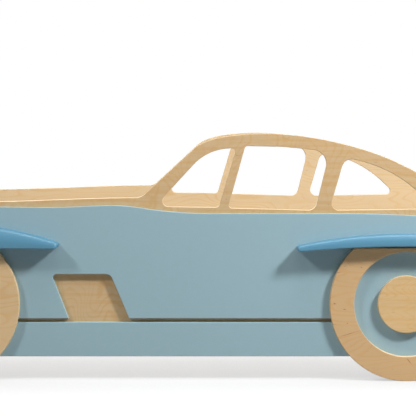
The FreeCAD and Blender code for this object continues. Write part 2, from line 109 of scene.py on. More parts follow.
class PlywoodSettings(bpy.types.PropertyGroup):
    outer_veneer: colour("Outer veneer", "Birch face of the outer sides", srgb(198, 168, 127))
    # Painted light: the inner faces get a paler copy of the birch, standing in for the stronger light on
    # them.
    inner_veneer_painted_lighter: colour("Inner veneer", "Paler birch face turned to the mattress", srgb(210, 186, 149))
    # Painted light: the front rings get a lighter copy of the ring birch, making up for the weaker light
    # at the front wheels.
    front_ring_veneer_painted_lighter: colour("Front ring veneer", "Face of the front wheel rings", srgb(214, 181, 136))
    rear_ring_veneer: colour("Rear ring veneer", "Face of the rear wheel rings", srgb(204, 167, 121))
    hub_veneer: colour("Hub veneer", "Yellower birch face of the wheel hubs", srgb(211, 177, 128))
    # Painted light: both ply tones are lightened, standing in for the light on the boards' top edges.
    pale_ply_painted_lighter: colour("Pale plies", "Plies cut along their grain, seen on an edge", srgb(240, 217, 180))
    dark_ply_painted_lighter: colour("Dark plies", "Plies of end grain, seen on an edge", srgb(205, 168, 120))
    ply: length("Ply", "Thickness of one ply", 0.0013846)
    growth_lines: amount("Growth lines", "How many growth lines a rise of the figure crosses", 22.0)
    line_depth: amount("Line depth", "How strong the growth lines are", 0.85)
    line_tint: colour("Line tint", "What a growth line leaves of the face's colour", (0.97, 0.86, 0.68))


class PaintSettings(bpy.types.PropertyGroup):
    skin: colour("Skin paint", "Grey-blue of the body skins", srgb(148, 175, 184))
    mudguard: colour("Mudguard paint", "Brighter blue of the mudguards", srgb(72, 128, 155))
    skin_roughness: amount("Skin roughness", "How matt the skins are", 0.55)
    mudguard_roughness: amount("Mudguard roughness", "How matt the mudguards are", 0.42)
    skin_shine: amount("Skin shine", "How much light the skins' paint mirrors", 0.35)
    mudguard_coat: amount("Mudguard coat", "How much clear lacquer lies on the mudguards", 0.2)
    mudguard_shine: amount("Mudguard shine", "How much light the mudguards' paint mirrors", 0.6)


class BaseSettings(bpy.types.PropertyGroup):
    pine: colour("Pine", "Early wood of the slats and rails", srgb(212, 182, 137))
    late_wood: colour("Late wood", "Darker late wood lines of the pine", srgb(188, 144, 92))


class FittingSettings(bpy.types.PropertyGroup):
    zinc: colour("Zinc", "Plated steel of the screws and bolts", srgb(196, 198, 200))
    brass: colour("Brass", "Threaded inserts", srgb(214, 176, 98))
    felt: colour("Felt", "Floor glides", srgb(96, 84, 72))


class MudguardSettings(bpy.types.PropertyGroup):
    crown_share: amount("Crown share", "Share of the height that the crown's rounding takes up", 0.8)
    crown_depth: amount("Crown depth", "Depth of the crown's rounding as a share of its height", 0.45)
    crown_sink: length("Crown sink", "How far the crowns lie under the plain ones' tops", 0.0025)
    under_round: length("Lower rounding", "Rounding of the lower outer edge", 0.004)
    tip_height: length("Tip height", "Height of the blunt tips", 0.01425)
    tip_length: length("Tip length", "How far from its end each tip starts to draw in", 0.011)
    tip_level: amount("Tip level", "Share of the tip's height at which it reaches furthest", 0.62)
    tip_fullness: amount("Tip fullness", "Shape of the blunt tips: 1 is round and 0 is square", 0.7)
    tip_pull: length("Tip pull", "How far the tips' outer side draws back", 0.012)
    front_short: length("Front short", "How far the front tips stop short of the plain ones'", 0.006)
    front_arch: length("Front arch", "Rise of the front mudguards' lower edge", 0.0002)
    rear_arch: length("Rear arch", "Rise of the rear mudguards' lower edge", 0.014)
    bow_steps: count("Bow steps", "Sections along half a mudguard", 48, 8)
    round_steps: count("Round steps", "Steps round each rounded edge and each tip", 16, 2)


class StageSettings(bpy.types.PropertyGroup):
    camera_distance: length("Camera distance", "From the camera to the near side panel's face", 4.274)
    camera_height: length("Camera height", "Above the floor", 0.709)
    camera_along: length("Camera along", "Place of the camera along the bed", -0.0201)
    lens: bpy.props.FloatProperty(
        name="Lens", description="Focal length in millimetres", default=131.1, min=1.0, unit="CAMERA"
    )
    framing_down: amount("Framing down", "Frame below the camera's axis, in frame widths", 0.1923)
    framing_left: amount("Framing left", "Frame left of the camera's axis, in frame widths", 0.0096)
    lamp_level: amount("Lamp level", "Share of the softboxes' full power", 1.0)
    fill: amount("Fill", "Strength of the even light from all round", 0.07)
    floor_glow: amount("Floor glow", "Share of the floor's white that the lamps' shadows leave", 0.846)
    floor_shade: amount("Floor shade", "Share of the floor's white that the lamps' shadows take", 0.158)
    contact_shade: amount("Contact shade", "Share of the floor's glow that near pieces take away", 0.41)
    contact_reach: length("Contact reach", "How near a piece shades the floor's glow", 0.4)
    floor_bounce: amount("Floor bounce", "Share of its light that the floor throws back at the bed", 0.3)


class CarBedSettings(bpy.types.PropertyGroup):
    plywood: group(PlywoodSettings, "Plywood", "Birch plywood")
    paint: group(PaintSettings, "Paint", "Painted boards")
    base: group(BaseSettings, "Base", "Slats and rails")
    fittings: group(FittingSettings, "Fittings", "Screws and glides")
    mudguards: group(MudguardSettings, "Mudguards", "Mudguards' shape")
    stage: group(StageSettings, "Stage", "Camera, lamps and floor")


# ------------------------------------------------------------------ building finishes

# Where a Mix node keeps its colour sockets
MIX_FIRST, MIX_SECOND, MIX_RESULT = 6, 7, 2


class Shading:
    """A tree of shader nodes, with short calls that add nodes to it."""

    def __init__(self, tree):
        self.tree = tree

    def put(self, socket, value):
        """Links an output to a socket, or sets the socket's own value."""
        if isinstance(value, bpy.types.NodeSocket):
            self.tree.links.new(value, socket)
        elif socket.type == "RGBA":
            socket.default_value = (*value, 1.0)
        else:
            socket.default_value = value

    def fill(self, node, values):
        """Fills a node's sockets by name, where an underscore stands for a space."""
        for key, value in values.items():
            self.put(node.inputs[key.replace("_", " ")], value)

    def node(self, kind, settings=(), **values):
        """Adds a node with its settings, fills its sockets by name and returns it."""
        made = self.tree.nodes.new("ShaderNode" + kind)
        for key, value in dict(settings).items():
            setattr(made, key, value)
        self.fill(made, values)
        return made

    def output(self, kind, values, settings=()):
        """Adds a node, fills its sockets in their order and returns its first output."""
        made = self.node(kind, settings)
        for socket, value in zip(made.inputs, values):
            self.put(socket, value)
        return made.outputs[0]

    def math(self, operation, *values):
        return self.output("Math", values, {"operation": operation})

    def product(self, *values):
        """All the values multiplied together."""
        result = values[0]
        for value in values[1:]:
            result = self.math("MULTIPLY", result, value)
        return result

    def join(self, x, y, z):
        return self.node("CombineXYZ", X=x, Y=y, Z=z).outputs[0]

    def split(self, vector):
        return self.node("SeparateXYZ", Vector=vector).outputs

    def stretched(self, place, repeats):
        """A place in a pattern that repeats so often in a metre along, across and through the board."""
        return self.join(*[self.math("MULTIPLY", part, often) for part, often in zip(place, repeats)])

    def noise(self, place, repeats, detail=2.0, roughness=0.5):
        vector = self.stretched(place, repeats)
        made = self.node("TexNoise", Vector=vector, Scale=1.0, Detail=detail, Roughness=roughness)
        return made.outputs["Fac"]

    def step(self, value, low, high, start=0.0, end=1.0):
        """A smooth step from start, where the value is low, to end, where it is high."""
        smooth = {"interpolation_type": "SMOOTHSTEP"}
        ends = {"From_Min": low, "From_Max": high, "To_Min": start, "To_Max": end}
        return self.node("MapRange", smooth, Value=value, **ends).outputs[0]

    def mix(self, share, first, second, blend="MIX"):
        made = self.node("Mix", {"data_type": "RGBA", "blend_type": blend}, Factor=share)
        self.put(made.inputs[MIX_FIRST], first)
        self.put(made.inputs[MIX_SECOND], second)
        return made.outputs[MIX_RESULT]

    def shade(self, tint, brightness):
        """The colour, made lighter or darker by a factor near 1."""
        grey = self.node("CombineColor", Red=brightness, Green=brightness, Blue=brightness).outputs[0]
        return self.mix(1.0, tint, grey, "MULTIPLY")

    def seen_directly(self):
        """1 for the rays that show the background: from the camera, from a mirror and through glass."""
        path = self.node("LightPath").outputs
        mirrored = self.math("MAXIMUM", path["Is Camera Ray"], path["Is Glossy Ray"])
        return self.math("MAXIMUM", mirrored, path["Is Transmission Ray"])


class Finish(Shading):
    """A new material with its main shader."""

    def __init__(self, name):
        self.material = bpy.data.materials.new(name)
        self.material.use_nodes = True
        super().__init__(self.material.node_tree)
        self.shader = self.tree.nodes["Principled BSDF"]

    def set(self, **values):
        """Sets or links the shader's sockets."""
        self.fill(self.shader, values)

    def bump(self, height, depth):
        """A relief of that height, 0 to 1, and that depth in metres."""
        self.set(Normal=self.node("Bump", Height=height, Distance=depth).outputs[0])

    def position(self):
        return self.split(self.node("TexCoord").outputs["Object"])

    def facing(self):
        """How much the surface faces along each axis, with its sign."""
        return self.split(self.node("NewGeometry").outputs["True Normal"])


def give(names, finish):
    """CAD nodes get a finish in place of their packed one."""
    for name in names:
        materials = NODES[name].data.materials
        materials.clear()
        materials.append(finish.material)


def pairs(*names):
    return [name + "_" + side for name in names for side in SIDES]


# ------------------------------------------------------------------ plywood

# Which of the bed's axes run along, across and through each kind of board
BOARD_AXES = {"sides": "XZY", "ends": "YZX", "rails": "XZY", "battens": "ZXY", "slats": "YXZ"}

# How often a sheet's figure repeats in a metre, along and across its grain, and how deep its streaks are
LONG_FIGURE = (2.1, 8.5, 0.0)
FLAME_FIGURE = (7.0, 4.0, 0.75)
HUB_FIGURE = (4.0, 12.0, 0.6)

# How often figures repeat through a board, so that boards and faces at other depths have their own
THROUGH = 37.0

# How many times as often as its figure a growth line's raggedness and its fading repeat, along and across
RAGGED_ALONG, RAGGED_ACROSS = 7, 5
FADE_ALONG, FADE_ACROSS = 2, 0.7

# How often the sheet's finer patterns repeat in a metre: along, across and through it
STREAKS = (4.0, 95.0, THROUGH)
BANDS = (1.6, 11.0, THROUGH)
FIBRES = (16.0, 620.0, THROUGH)
PORES = (85.0, 1500.0, THROUGH)
FLECKS = (38.0, 210.0, 2 * THROUGH)
PLY_SPECKS = (900.0, 900.0, 2600.0)
PLY_STREAKS = (60.0, 60.0, 1400.0)
MARK_EDGES = (160.0, 420.0, 1.0)

# How strong the patterns are
FLECK_DEPTH = 0.4
FIBRE_DEPTH = 0.07
PORE_DEPTH = 0.07
PLY_DEPTH = 0.42
PLY_GRAIN_DEPTH = 0.16
PLY_SHARPNESS = 5.0
LINE_RAGGEDNESS = 0.35
MARK_RAGGEDNESS = 1.1
FLECK_TINT = srgb(140, 92, 52)
HALO_TINT = srgb(186, 118, 62)
KNOT_TINT = srgb(112, 66, 36)

# How deep the veneer's relief is, in metres, and how much of it the growth lines take up
VENEER_RELIEF = 0.00006
LINE_RELIEF_SHARE = 0.4


def in_board(parts, axes):
    """X, Y and Z parts in a board's own order: along it, across it and through it."""
    return [parts["XYZ".index(axis)] for axis in axes]


def growth_lines(finish, place, along, across, lines):
    """The contours that a knife leaves in veneer peeled round a log, 1 in the dark of each line."""
    figure = (along, across, THROUGH)
    ragged_figure = (RAGGED_ALONG * along, RAGGED_ACROSS * across, THROUGH)
    fade_figure = (FADE_ALONG * along, FADE_ACROSS * across, THROUGH)
    slow = finish.noise(place, figure, detail=2.0, roughness=0.42)
    ragged = finish.noise(place, ragged_figure, detail=3.0, roughness=0.6)
    height = finish.math("MULTIPLY_ADD", slow, lines, finish.product(ragged, LINE_RAGGEDNESS))
    across_line = finish.math("FRACT", height)
    rise = finish.step(across_line, 0.5, 0.9)
    fall = finish.step(across_line, 0.9, 1.0, 1.0, 0.0)
    fade = finish.step(finish.noise(place, fade_figure), 0.32, 0.66, 0.3, 1.0)
    return finish.product(rise, fall, fade)


def veneer(finish, place, settings, face, figure):
    """The face of a board: warm growth lines and streaks, slow bands, fibres, short pores and flecks."""
    along, across, streak_depth = figure
    lines = growth_lines(finish, place, along, across, settings.growth_lines)
    streaks = finish.step(finish.noise(place, STREAKS, detail=2.0, roughness=0.6), 0.42, 0.66)
    bands = finish.step(finish.noise(place, BANDS, detail=3.0, roughness=0.55), 0.25, 0.75, 0.97, 1.03)
    fibre = finish.noise(place, FIBRES, detail=3.0, roughness=0.6)
    pores = finish.step(finish.noise(place, PORES, detail=1.0), 0.66, 0.78)
    flecks = finish.step(finish.noise(place, FLECKS, detail=1.0), 0.75, 0.8)
    deep_lines = finish.product(lines, settings.line_depth)
    marked = finish.math("MULTIPLY_ADD", streaks, streak_depth, deep_lines)
    lined = finish.mix(marked, face, settings.line_tint, "MULTIPLY")
    flecked = finish.mix(finish.product(flecks, FLECK_DEPTH), lined, FLECK_TINT)
    fine = finish.product(finish.math("SUBTRACT", fibre, 0.5), FIBRE_DEPTH)
    pored = finish.math("SUBTRACT", fine, finish.product(pores, PORE_DEPTH))
    relief = finish.math("SUBTRACT", fibre, finish.product(lines, LINE_RELIEF_SHARE))
    return finish.shade(flecked, finish.math("ADD", bands, pored)), relief


def ply_edge(finish, place, facing, first_face, settings):
    """The cut edge of a board: plies by turns pale, cut along their grain, and dark, at end grain, both
    tones lightened as painted light on the lit edges.
    """
    depth = finish.math("SUBTRACT", finish.math("ABSOLUTE", place[2]), first_face)
    plies_deep = finish.math("DIVIDE", depth, settings.ply)
    wave = finish.math("SINE", finish.product(plies_deep, math.pi))
    turns = finish.node("Clamp", Value=finish.product(wave, PLY_SHARPNESS), Min=-1.0, Max=1.0).outputs[0]
    end_facing, flat_facing = [finish.math("POWER", part, 2.0) for part in facing[:2]]
    lie = finish.math("SUBTRACT", flat_facing, end_facing)
    pale = finish.math("MULTIPLY_ADD", finish.product(turns, lie), PLY_DEPTH, 0.5)
    tone = finish.mix(pale, settings.dark_ply_painted_lighter, settings.pale_ply_painted_lighter)
    specks = finish.product(finish.noise(place, PLY_SPECKS), PLY_GRAIN_DEPTH)
    streaks = finish.product(finish.noise(place, PLY_STREAKS), PLY_GRAIN_DEPTH)
    grain = finish.math("ADD", finish.math("ADD", specks, 1 - PLY_GRAIN_DEPTH), streaks)
    glue = finish.step(finish.math("ABSOLUTE", wave), 0.0, 0.3, 0.86, 1.0)
    return finish.shade(tone, finish.product(glue, grain))


def make_plywood(name, settings, faces, axes, first_face, figure, marks=()):
    """Birch plywood with two faces: the outer looks away from the bed's middle, the inner towards it."""
    finish = Finish(name)
    outer, inner = faces
    place = in_board(finish.position(), axes)
    facing = in_board(finish.facing(), axes)
    outward = finish.step(finish.product(place[2], facing[2]), -0.01, 0.01)
    # On the side panels and end boards the inner face's paler colour is painted light.
    face, relief = veneer(finish, place, settings, finish.mix(outward, inner, outer), figure)
    for mark in marks:
        face = wood_mark(finish, face, place, *mark)
    is_face = finish.step(finish.math("ABSOLUTE", facing[2]), 0.45, 0.8)
    edge = ply_edge(finish, place, facing, first_face, settings)
    finish.set(
        Base_Color=finish.mix(is_face, edge, face),
        Roughness=finish.step(relief, 0.2, 0.8, 0.62, 0.48),
        Coat_Weight=0.12,
        Coat_Roughness=0.35,
    )
    finish.bump(relief, VENEER_RELIEF)
    return finish


def wood_mark(finish, face, place, along, across, half_length, half_height, lean):
    """A small knot or mineral streak with a warm halo, at a place on a board's face."""
    reach = finish.math("SUBTRACT", place[0], along)
    level = finish.math("SUBTRACT", place[1], across)
    rise = finish.math("SUBTRACT", level, finish.math("MULTIPLY", reach, lean))
    halves = finish.math("DIVIDE", reach, half_length), finish.math("DIVIDE", rise, half_height)
    distance = finish.node("VectorMath", {"operation": "LENGTH"}, Vector=finish.join(*halves, 0.0))
    ragged = finish.product(finish.noise(place, MARK_EDGES), MARK_RAGGEDNESS)
    away = finish.math("ADD", distance.outputs["Value"], ragged)
    halo = finish.step(away, 0.6, 2.9, 0.30, 0.0)
    core = finish.step(away, 0.7, 1.45, 0.72, 0.0)
    return finish.mix(core, finish.mix(halo, face, HALO_TINT), KNOT_TINT)


# The knots and streaks of the near rear ring: metres towards the tail and above the wheel's middle,
# half length, half height and lean.
REAR_RING_MARKS = (
    (-0.202, 0.002, 0.0040, 0.0026, 0.0),
    (-0.160, -0.082, 0.0300, 0.0010, 0.30),
    (-0.190, 0.090, 0.0110, 0.0012, 0.12),
    (-0.173, 0.107, 0.0030, 0.0014, 0.4),
    (-0.127, 0.104, 0.0022, 0.0016, 0.0),
    (-0.174, -0.014, 0.0045, 0.0012, -0.2),
    (-0.166, -0.053, 0.0020, 0.0012, 0.0),
    (0.006, -0.158, 0.0080, 0.0020, -1.2),
)

# The strays of the other rings: how many, how far from the ring's edges, how long and how steep
STRAY_MARKS = 5
STRAY_MARGIN = 0.01
STRAY_HALF_LENGTHS = (0.002, 0.006)
STRAY_FLATNESS = 0.4
STRAY_LEANS = (-0.2, 0.3)


def ring_marks(name):
    """The near rear ring's own marks, or a few strays that are the same on every run."""
    low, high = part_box(name)
    hub_low, hub_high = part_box(name.replace("ring", "hub"))
    middle_x = (low.x + high.x) / 2
    middle_z = (hub_low.z + hub_high.z) / 2
    if name == "rear_wheel_ring_left":
        return [(middle_x + x, middle_z + z, *form) for x, z, *form in REAR_RING_MARKS]
    draw = random.Random(name)
    marks = []
    for number in range(STRAY_MARKS):
        angle = draw.uniform(0, 2 * math.pi)
        radius = draw.uniform(high.z - middle_z + STRAY_MARGIN, (high.x - low.x) / 2 - STRAY_MARGIN)
        size = draw.uniform(*STRAY_HALF_LENGTHS)
        place = (middle_x + radius * math.sin(angle), middle_z - radius * math.cos(angle))
        marks.append((*place, size, STRAY_FLATNESS * size, draw.uniform(*STRAY_LEANS)))
    return marks


# ------------------------------------------------------------------ other finishes

# How often the patterns repeat in a metre each way
PAINT_DRIFT = (1.1, 1.1, 1.6)
PAINT_MIST = (55.0, 55.0, 55.0)
ORANGE_PEEL = (620.0, 620.0, 620.0)
PINE_FIBRES = (12.0, 700.0, 700.0)
PINE_KNOTS = (2.6, 9.0, 3.0)
DULL_PATCHES = (140.0, 140.0, 140.0)
TURNING_MARKS = (300.0, 2600.0, 300.0)
MATTED_WOOL = (900.0, 900.0, 900.0)
WOOL_CLUMPS = (160.0, 160.0, 160.0)

PINE_LINES_ALONG = 0.5
PINE_LINES_ACROSS = 14.0
PINE_LINES = 26.0
PINE_KNOT_TINT = srgb(128, 78, 42)

# How much the patterns change a finish's brightness or roughness
PAINT_SPECKLE = 0.012
PAINT_ROUGHNESS_DRIFT = 0.04
PINE_LINE_DEPTH = 0.75
PINE_FIBRE_DEPTH = 0.16

# How deep the reliefs are, in metres
PAINT_RELIEF = 0.00003
PINE_RELIEF = 0.00008
METAL_RELIEF = 0.00001
FELT_RELIEF = 0.0004


def make_paint(name, tint, roughness, shine, coat, veil):
    """Sprayed satin paint on board: a fine orange peel, and a tone that drifts a little over a metre."""
    finish = Finish(name)
    place = finish.position()
    drift = finish.noise(place, PAINT_DRIFT)
    mist = finish.noise(place, PAINT_MIST, detail=3.0, roughness=0.6)
    slow = finish.step(drift, 0.3, 0.7, 1 - veil, 1 + veil)
    speckle = finish.step(mist, 0.2, 0.8, -PAINT_SPECKLE, PAINT_SPECKLE)
    smooth, rough = roughness - PAINT_ROUGHNESS_DRIFT, roughness + PAINT_ROUGHNESS_DRIFT
    finish.set(
        Base_Color=finish.shade(tint, finish.math("ADD", slow, speckle)),
        Roughness=finish.step(mist, 0.25, 0.75, smooth, rough),
        Specular_IOR_Level=shine,
        Coat_Weight=coat,
        Coat_Roughness=0.25,
    )
    finish.bump(finish.noise(place, ORANGE_PEEL, detail=2.0, roughness=0.4), PAINT_RELIEF)
    return finish


def make_pine(settings, axes):
    """Planed softwood with straight late-wood lines along the board and a few small knots."""
    finish = Finish("pine_along_" + axes[0].lower())
    place = in_board(finish.position(), axes)
    lines = growth_lines(finish, place, PINE_LINES_ALONG, PINE_LINES_ACROSS, PINE_LINES)
    fibre = finish.noise(place, PINE_FIBRES, detail=3.0, roughness=0.6)
    knots = finish.node("TexVoronoi", Vector=finish.stretched(place, PINE_KNOTS), Scale=1.0)
    knot_distance = knots.outputs["Distance"]
    knot = finish.step(knot_distance, 0.035, 0.075, 0.85, 0.0)
    halo = finish.step(knot_distance, 0.05, 0.22, 0.28, 0.0)
    wood = finish.mix(finish.product(lines, PINE_LINE_DEPTH), settings.pine, settings.late_wood)
    wood = finish.mix(halo, wood, settings.late_wood)
    wood = finish.mix(knot, wood, PINE_KNOT_TINT)
    brightness = finish.math("MULTIPLY_ADD", fibre, PINE_FIBRE_DEPTH, 1 - PINE_FIBRE_DEPTH / 2)
    finish.set(
        Base_Color=finish.shade(wood, brightness),
        Roughness=finish.step(fibre, 0.2, 0.8, 0.7, 0.55),
    )
    finish.bump(finish.math("SUBTRACT", fibre, finish.product(lines, 0.5)), PINE_RELIEF)
    return finish


def make_metal(name, tint, roughness):
    """Plated or bare metal with faint turning marks and patches of duller plating."""
    finish = Finish(name)
    place = finish.position()
    patch = finish.noise(place, DULL_PATCHES, detail=3.0, roughness=0.6)
    finish.set(
        Base_Color=finish.shade(tint, finish.step(patch, 0.3, 0.7, 0.86, 1.04)),
        Metallic=1.0,
        Roughness=finish.step(patch, 0.25, 0.75, roughness + 0.12, roughness - 0.04),
    )
    finish.bump(finish.noise(place, TURNING_MARKS), METAL_RELIEF)
    return finish


def make_felt(settings):
    """Pressed wool felt of mixed grey and brown fibres."""
    finish = Finish("felt_fibres")
    place = finish.position()
    matted = finish.noise(place, MATTED_WOOL, detail=4.0, roughness=0.7)
    clumps = finish.noise(place, WOOL_CLUMPS, detail=3.0, roughness=0.6)
    patchy = finish.step(clumps, 0.2, 0.8, -0.12, 0.12)
    brightness = finish.math("ADD", finish.step(matted, 0.2, 0.8, 0.6, 1.2), patchy)
    finish.set(
        Base_Color=finish.shade(settings.felt, brightness),
        Roughness=0.95,
        Sheen_Weight=0.5,
        Sheen_Roughness=0.4,
    )
    finish.bump(matted, FELT_RELIEF)
    return finish


# ------------------------------------------------------------------ mudguards

# Nearer than this, two points are one
SAME_PLACE = 1e-6

# Edges steeper than this look sharp
SHARP_ANGLE = math.radians(40)

# A cross-section of a mudguard, with the Y of its front face
Section = namedtuple("Section", "x bottom height front_y")


def bow_drop(half, rise, reach):
    """How far a bow that rises over its half width has dropped at a reach from its middle."""
    return rise * (reach / half) ** 2


def scale_about(mesh, verts, centre, scale):
    bmesh.ops.scale(mesh, vec=scale, space=Matrix.Translation(-Vector(centre)), verts=verts)


def round_corner(mesh, corner, radius, settings):
    bmesh.ops.bevel(
        mesh,
        geom=[corner],
        offset=radius,
        offset_type="OFFSET",
        affect="VERTICES",
        segments=settings.round_steps,
        profile=0.5,
        material=-1,
    )


def make_section(mesh, back_y, section, settings):
    """The first section: square at the back, and in front a little round below and oval above."""
    # The crown is rounded on a deeper section, which is then squeezed, so that it turns oval
    squeeze = settings.crown_depth
    deep_y = back_y + (section.front_y - back_y) / squeeze
    bottom, top = section.bottom, section.bottom + section.height
    spots = ((back_y, bottom), (deep_y, bottom), (deep_y, top), (back_y, top))
    corners = [mesh.verts.new((0, y, z)) for y, z in spots]
    for number, corner in enumerate(corners):
        mesh.edges.new((corner, corners[number - 1]))
    bmesh.ops.contextual_create(mesh, geom=mesh.edges[:])
    round_corner(mesh, corners[2], settings.crown_share * section.height, settings)
    scale_about(mesh, mesh.verts[:], (0, back_y, 0), (1, squeeze, 1))
    round_corner(mesh, corners[1], settings.under_round, settings)
    bmesh.ops.delete(mesh, geom=mesh.faces[:], context="FACES_ONLY")
    return mesh.edges[:]


def grow_section(mesh, loop, back_y, before, after):
    """Extrudes the last section to the next one, and returns that one's edges."""
    grown = bmesh.ops.extrude_edge_only(mesh, edges=loop)["geom"]
    verts = [item for item in grown if isinstance(item, bmesh.types.BMVert)]
    front = [vert for vert in verts if abs(vert.co.y - back_y) > SAME_PLACE]
    shrink = after.height / before.height
    scale_about(mesh, front, (0, before.front_y, 0), (1, shrink, 1))
    scale_about(mesh, verts, (0, 0, before.bottom), (1, 1, shrink))
    bmesh.ops.translate(mesh, vec=(0, after.front_y - before.front_y, 0), verts=front)
    bmesh.ops.translate(mesh, vec=(after.x - before.x, 0, after.bottom - before.bottom), verts=verts)
    return [edge for edge in grown if isinstance(edge, bmesh.types.BMEdge)]


def section_places(settings):
    """Where half a mudguard's sections lie along its body and tip, and how much height each keeps."""
    body = [(number / settings.bow_steps, 1.0) for number in range(settings.bow_steps + 1)]
    turns = [math.pi / 2 * number / settings.round_steps for number in range(1, settings.round_steps)]
    return body, [(math.sin(turn), math.cos(turn) ** settings.tip_fullness) for turn in turns]


def make_mudguard(name, settings, short, arch, finish):
    """A mudguard like a slice of a wing: flat below, crowned above, and thinner towards its tips."""
    low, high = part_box(name)
    back_y, front_y = (high.y, low.y) if high.y < 0 else (low.y, high.y)
    middle_x = (low.x + high.x) / 2
    reach = (high.x - low.x) / 2 - short
    outward = math.copysign(1, front_y - back_y)
    crown_z = high.z - settings.crown_sink
    crown_rise = crown_z - low.z - settings.tip_height
    straight = reach - settings.tip_length

    def section(x, share):
        top = crown_z - bow_drop(reach, crown_rise, x)
        bottom = low.z + arch - bow_drop(reach, arch, x)
        level = bottom + settings.tip_level * (top - bottom)
        height = share * (top - bottom)
        pull = outward * settings.tip_pull * (1 - share)
        return Section(x, level - settings.tip_level * height, height, front_y - pull)

    body, tip = section_places(settings)
    sections = [section(straight * along, share) for along, share in body]
    sections += [section(straight + settings.tip_length * along, share) for along, share in tip]

    mesh = bmesh.new()
    loop = make_section(mesh, back_y, sections[0], settings)
    for before, after in zip(sections, sections[1:]):
        loop = grow_section(mesh, loop, back_y, before, after)
    bmesh.ops.contextual_create(mesh, geom=loop)
    whole = mesh.verts[:] + mesh.edges[:] + mesh.faces[:]
    bmesh.ops.mirror(mesh, geom=whole, matrix=Matrix.Identity(4), merge_dist=SAME_PLACE, axis="X")
    bmesh.ops.translate(mesh, verts=mesh.verts[:], vec=(middle_x, 0, 0))
    bmesh.ops.recalc_face_normals(mesh, faces=mesh.faces[:])

    shape = bpy.data.meshes.new(name + "_shaped")
    mesh.to_mesh(shape)
    mesh.free()
    shape.shade_smooth()
    shape.set_sharp_from_angle(angle=SHARP_ANGLE)
    shape.materials.append(finish.material)
    guard = bpy.data.objects.new(name + "_shaped", shape)
    bpy.context.scene.collection.objects.link(guard)
    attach(guard, "root")
    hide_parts(name)


# ------------------------------------------------------------------ operators


class CARBED_OT_side_panels(bpy.types.Operator):
    """Birch plywood on the side panels, with painted light making the inner faces paler"""

    bl_idname = "car_bed.side_panels"
    bl_label = "Side panels"

    def execute(self, context):
        settings = context.scene.car_bed.plywood
        faces = (settings.outer_veneer, settings.inner_veneer_painted_lighter)
        first_face = abs(PANEL_HIGH.y)
        for side, figure in (("left", FLAME_FIGURE), ("right", LONG_FIGURE)):
            name = "side_panel_" + side
            finish = make_plywood(
                "birch_" + name, settings, faces, BOARD_AXES["sides"], first_face, figure
            )
            give([name], finish)
        return {"FINISHED"}


class CARBED_OT_skins(bpy.types.Operator):
    """Grey-blue satin paint on the body skins"""

    bl_idname = "car_bed.skins"
    bl_label = "Body skins"

    def execute(self, context):
        settings = context.scene.car_bed.paint
        finish = make_paint(
            "skin_paint_satin",
            settings.skin,
            settings.skin_roughness,
            settings.skin_shine,
            coat=0.0,
            veil=0.012,
        )
        give(pairs("body_skin"), finish)
        return {"FINISHED"}


class CARBED_OT_wheels(bpy.types.Operator):
    """Birch plywood on the wheel rings, each with its own knots, and on the hubs"""

    bl_idname = "car_bed.wheels"
    bl_label = "Wheels"

    def execute(self, context):
        settings = context.scene.car_bed.plywood
        axes = BOARD_AXES["sides"]
        first_face = abs(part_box("rear_wheel_ring_left")[1].y)
        hub_faces = (settings.hub_veneer, settings.hub_veneer)
        hubs = make_plywood("birch_hubs", settings, hub_faces, axes, first_face, HUB_FIGURE)
        give(pairs(*[wheel + "_wheel_hub" for wheel in WHEELS]), hubs)
        for wheel, face in (("front", settings.front_ring_veneer_painted_lighter), ("rear", settings.rear_ring_veneer)):
            for name in pairs(wheel + "_wheel_ring"):
                marks = ring_marks(name)
                ring = make_plywood(
                    "birch_" + name, settings, (face, face), axes, first_face, LONG_FIGURE, marks
                )
                give([name], ring)
        return {"FINISHED"}


class CARBED_OT_mudguards(bpy.types.Operator):
    """Rounded solid mudguards in brighter blue satin paint, in place of the four plain ones"""

    bl_idname = "car_bed.mudguards"
    bl_label = "Mudguards"

    def execute(self, context):
        paint = context.scene.car_bed.paint
        settings = context.scene.car_bed.mudguards
        finish = make_paint(
            "mudguard_paint_satin",
            paint.mudguard,
            paint.mudguard_roughness,
            paint.mudguard_shine,
            coat=paint.mudguard_coat,
            veil=0.01,
        )
        forms = {"front": (settings.front_short, settings.front_arch), "rear": (0.0, settings.rear_arch)}
        for wheel in WHEELS:
            for name in pairs(wheel + "_mudguard"):
                make_mudguard(name, settings, *forms[wheel], finish)
        return {"FINISHED"}


class CARBED_OT_base(bpy.types.Operator):
    """Plywood end boards, and pine battens, rails and slats"""

    bl_idname = "car_bed.base"
    bl_label = "Bed base"

    def execute(self, context):
        plywood = context.scene.car_bed.plywood
        faces = (plywood.outer_veneer, plywood.inner_veneer_painted_lighter)
        first_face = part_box("rear_board")[0].x
        boards = make_plywood(
            "birch_end_boards", plywood, faces, BOARD_AXES["ends"], first_face, LONG_FIGURE
        )
        give(["front_board", "rear_board"], boards)
        settings = context.scene.car_bed.base
        give(pairs("slat_rail"), make_pine(settings, BOARD_AXES["rails"]))
        battens = pairs("front_corner_batten", "rear_corner_batten")
        give(battens, make_pine(settings, BOARD_AXES["battens"]))
        slats = sorted(name for name in NODES if name.removeprefix("slat_").isdigit())
        give(slats, make_pine(settings, BOARD_AXES["slats"]))
        return {"FINISHED"}


class CARBED_OT_fittings(bpy.types.Operator):
    """Zinc on the screws and bolts, brass on the inserts and felt on the floor glides"""

    bl_idname = "car_bed.fittings"
    bl_label = "Fittings"

    def execute(self, context):
        settings = context.scene.car_bed.fittings
        screws = [name for name in NODES if "screws" in name or "bolts" in name]
        inserts = [name for name in NODES if "inserts" in name]
        give(screws, make_metal("zinc_plated_steel", settings.zinc, roughness=0.34))
        give(inserts, make_metal("brass_inserts", settings.brass, roughness=0.3))
        give(pairs(*[wheel + "_floor_glide" for wheel in WHEELS]), make_felt(settings))
        return {"FINISHED"}


# ------------------------------------------------------------------ stage

FLOOR_HALF = 9.0
FILL_TINT = (0.6, 0.92, 1.0)
CONTACT_SAMPLES = 8

# How far from the bed's middle the floor starts and ends turning to the background's white
FADE_START = 1.9
FADE_END = 3.2

